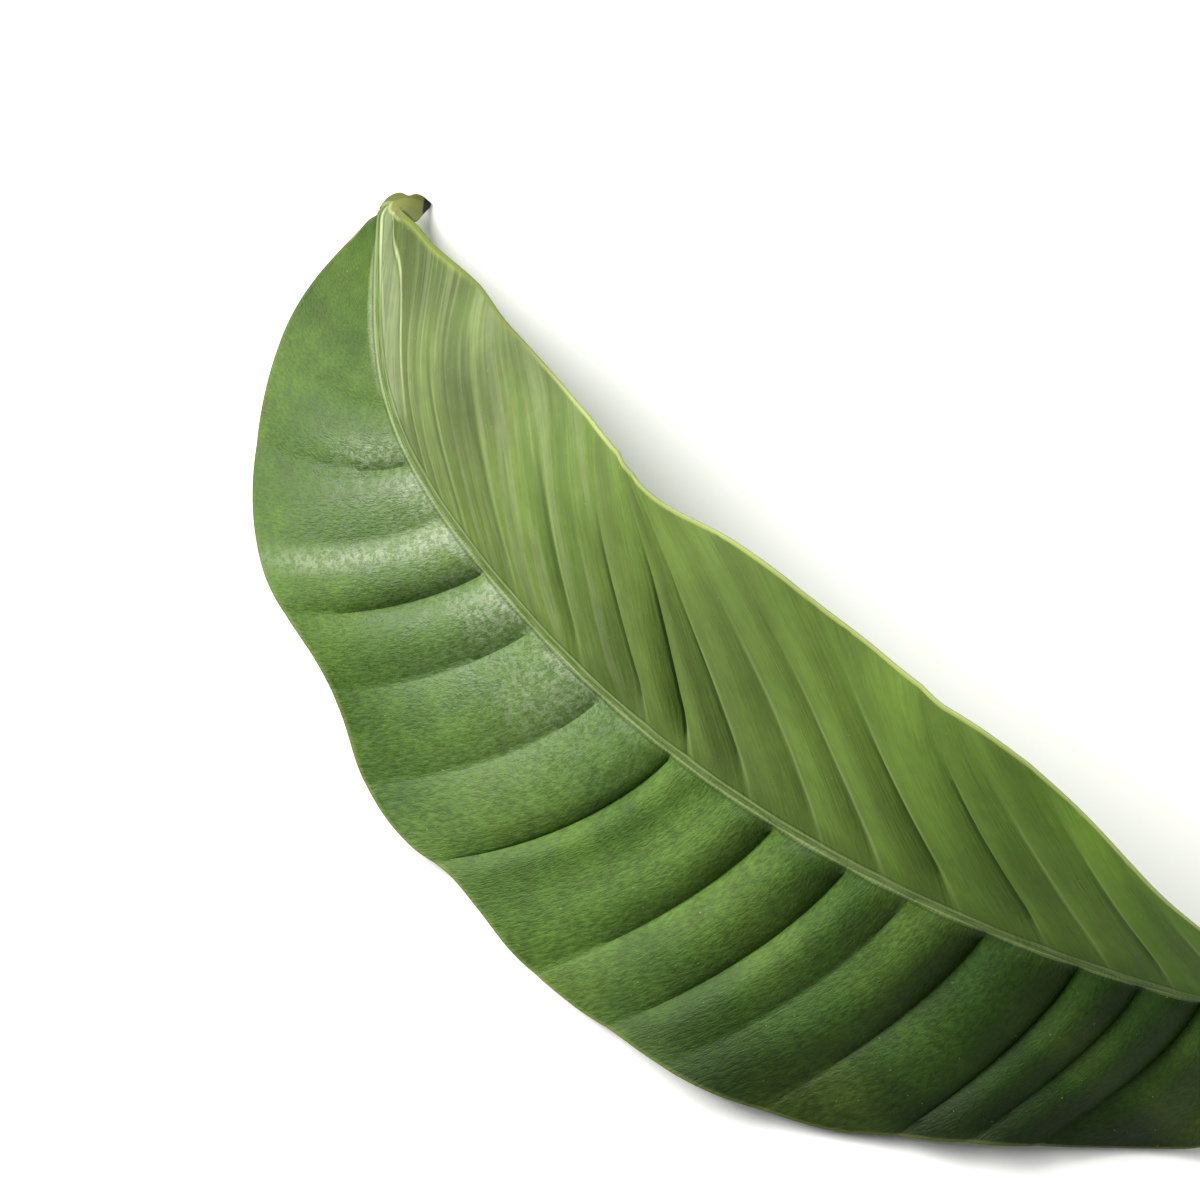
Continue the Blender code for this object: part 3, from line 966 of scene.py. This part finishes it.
def add_rim(n, at, green):
    """The pale rim, with a lime edge towards the tip on the right half."""
    lime = n.times(n.step(at.edge, 1.8, 0.4), at.right_half, n.step(at.x, 222, 242), 0.7)
    green = n.mix(lime, green, LIME_GREEN)
    pale = n.times(n.step(at.edge, 0.75, 0.2), by_half(n, at, 0.25, 0.9))
    return n.mix(pale, green, n.mix(n.step(at.x, 175, 215), *RIM_GREENS))


def upper_green(n, at, noises, sheen, rib_green):
    """The green of the upper face."""
    green = main_greens(n, at, noises)
    green = add_streaks(n, at, noises, green)
    green = add_lens(n, at, green)
    green = toned(n, at, noises, green)
    green = add_creases(n, at, noises, green)
    green = add_painted_sheen(n, at, noises, sheen, green)
    green = add_midrib(n, at, rib_green, green)
    return add_rim(n, at, green)


def under_green(n, at, noises, rib_green):
    """The paler green of the underside, with its nerves and the keel of the midrib."""
    green = n.mix(n.step(noises.mottle, 0.3, 0.7), *UNDER_GREENS)
    green = n.mix(n.step(noises.leathery, 0.42, 0.62, 0.0, 0.3), green, UNDER_PATCH)
    to_nerve = n.math("ABSOLUTE", at.from_nerve)
    green = n.mix(n.step(to_nerve, 0.06, 0.0, 0.0, 0.6), green, UNDER_NERVE)
    return n.mix(n.step(at.from_rib, 2.0, 1.3, 0.0, 0.8), green, rib_green)


def add_tip(n, at, green):
    """The olive lobe past the tip's fold, the pale line on the fold and the dried point."""
    past_fold = n.math("ADD", n.math("SUBTRACT", at.x, TIP_FOLD), at.from_rib)
    in_tip = n.step(at.x, 249, 251)
    green = n.mix(n.times(n.step(past_fold, 0.0, 0.8), in_tip), green, LOBE_GREEN)
    fold_line = n.times(n.step(n.math("ABSOLUTE", past_fold), 0.8, 0.2), in_tip, 0.6)
    green = n.mix(fold_line, green, FOLD_LINE_GREEN)
    return n.mix(n.step(at.x, *DRIED_POINT), green, DRIED_BROWN)


def add_stalk_green(n, at, noises, green):
    """The stalk's green, and the brown face of its cut."""
    stalk_green = n.mix(n.step(noises.rib_lines, 0.35, 0.65), *STALK_GREENS)
    green = n.mix(n.step(at.x, 2.0, -3.0), green, stalk_green)
    return n.mix(n.step(at.x, 0.8 - STALK_LENGTH, 0.1 - STALK_LENGTH), green, CUT_BROWN)


def add_surface(n, material, at, noises, sheen, green):
    """The satin surface, with the relief of the skin and the light that shines through the blade."""
    relief_values = {"Strength": 1.0, "Distance": SKIN_RELIEF * MM, "Height": noises.leathery}
    bump = n.add("ShaderNodeBump", relief_values).outputs[0]
    roughness = n.math("ADD", n.step(noises.leathery, 0.3, 0.7, 0.52, 0.62), n.step(at.upper, 1, 0, 0.0, 0.1))
    roughness = n.math("SUBTRACT", roughness, n.times(sheen, n.step(noises.mottle, 0.4, 0.6, 0.08, 0.2)))
    principled = material.node_tree.nodes["Principled BSDF"]
    n.put(principled.inputs["Base Color"], green)
    n.put(principled.inputs["Roughness"], roughness)
    n.put(principled.inputs["Normal"], bump)
    principled.inputs["Specular IOR Level"].default_value = 0.3
    light_through = n.mix(1.0, green, THROUGH_TINT, "MULTIPLY")
    translucent = n.add("ShaderNodeBsdfTranslucent", {"Color": light_through, "Normal": bump}).outputs[0]
    through = n.step(at.x, 0.0, 8.0, 0.0, THROUGH_SHARE)
    surface = n.add("ShaderNodeMixShader", {0: through, 1: principled.outputs[0], 2: translucent}).outputs[0]
    n.put(material.node_tree.nodes["Material Output"].inputs["Surface"], surface)


def leaf_material():
    """The look of both faces, the midrib, the rim, the tip and the stalk, from the attributes of the mesh."""
    material = bpy.data.materials.new("leaf")
    material.use_nodes = True
    n = Nodes(material)
    at = Places(n)
    noises = Noises(n, at)
    sheen = sheen_share(n, at)
    rib_green = n.mix(n.step(noises.rib_lines, 0.35, 0.65), *RIB_GREENS)
    over = upper_green(n, at, noises, sheen, rib_green)
    under = under_green(n, at, noises, rib_green)
    green = add_tip(n, at, n.mix(at.upper, under, over))
    green = add_stalk_green(n, at, noises, green)
    add_surface(n, material, at, noises, sheen, green)
    return material


def floor_material():
    material = bpy.data.materials.new("table")
    material.use_nodes = True
    n = Nodes(material)
    principled = material.node_tree.nodes["Principled BSDF"]
    place = n.add("ShaderNodeTexCoord", {}).outputs["Object"]
    n.put(principled.inputs["Base Color"], n.mix(n.noise(place, TABLE_PATCH), *TABLE_GREYS))
    principled.inputs["Roughness"].default_value = TABLE_ROUGHNESS
    return material


def make_floor():
    mesh = bpy.data.meshes.new("table")
    corners = [(x * TABLE_HALF, y * TABLE_HALF, 0) for x, y in ((-1, -1), (1, -1), (1, 1), (-1, 1))]
    mesh.from_pydata(corners, [], [(0, 1, 2, 3)])
    mesh.materials.append(floor_material())
    floor = bpy.data.objects.new("table", mesh)
    bpy.context.scene.collection.objects.link(floor)
    return floor


def make_light(name, place, size, power, colour):
    """A square area light at this place that shines on the middle of the photograph's view."""
    light = bpy.data.lights.new(name, "AREA")
    light.size = size
    light.energy = power
    light.color = colour
    made = bpy.data.objects.new(name, light)
    made.location = place
    made.rotation_euler = (Vector(place) - Vector(VIEW_MIDDLE)).to_track_quat("Z", "Y").to_euler()
    bpy.context.scene.collection.objects.link(made)


def make_lights():
    """The area lights and the pale room."""
    for light in LIGHTS:
        make_light(*light)
    world = bpy.data.worlds.new("room")
    world.use_nodes = True
    background = world.node_tree.nodes["Background"]
    background.inputs["Color"].default_value = (1.0, 1.0, 1.0, 1)
    background.inputs["Strength"].default_value = ROOM_STRENGTH
    bpy.context.scene.world = world


def make_camera():
    """The photograph's camera."""
    data = bpy.data.cameras.new("photo_camera")
    data.lens = LENS_MM
    data.sensor_width = SENSOR_MM
    toward = Vector(TOWARD_CAMERA).normalized()
    right = Vector(IMAGE_UP).cross(toward).normalized()
    camera = bpy.data.objects.new("photo_camera", data)
    turn = Matrix((right, toward.cross(right), toward)).transposed().to_4x4()
    camera.matrix_world = Matrix.Translation(Vector(CAMERA_PLACE)) @ turn
    bpy.context.scene.collection.objects.link(camera)
    bpy.context.scene.camera = camera


def main():
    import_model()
    bpy.context.scene.view_settings.view_transform = "Standard"
    leaf = make_leaf(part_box("leaf"))
    leaf.data.materials.append(leaf_material())
    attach(leaf, "root")
    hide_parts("leaf")
    make_floor()
    make_lights()
    make_camera()
    bpy.context.view_layer.update()


main()
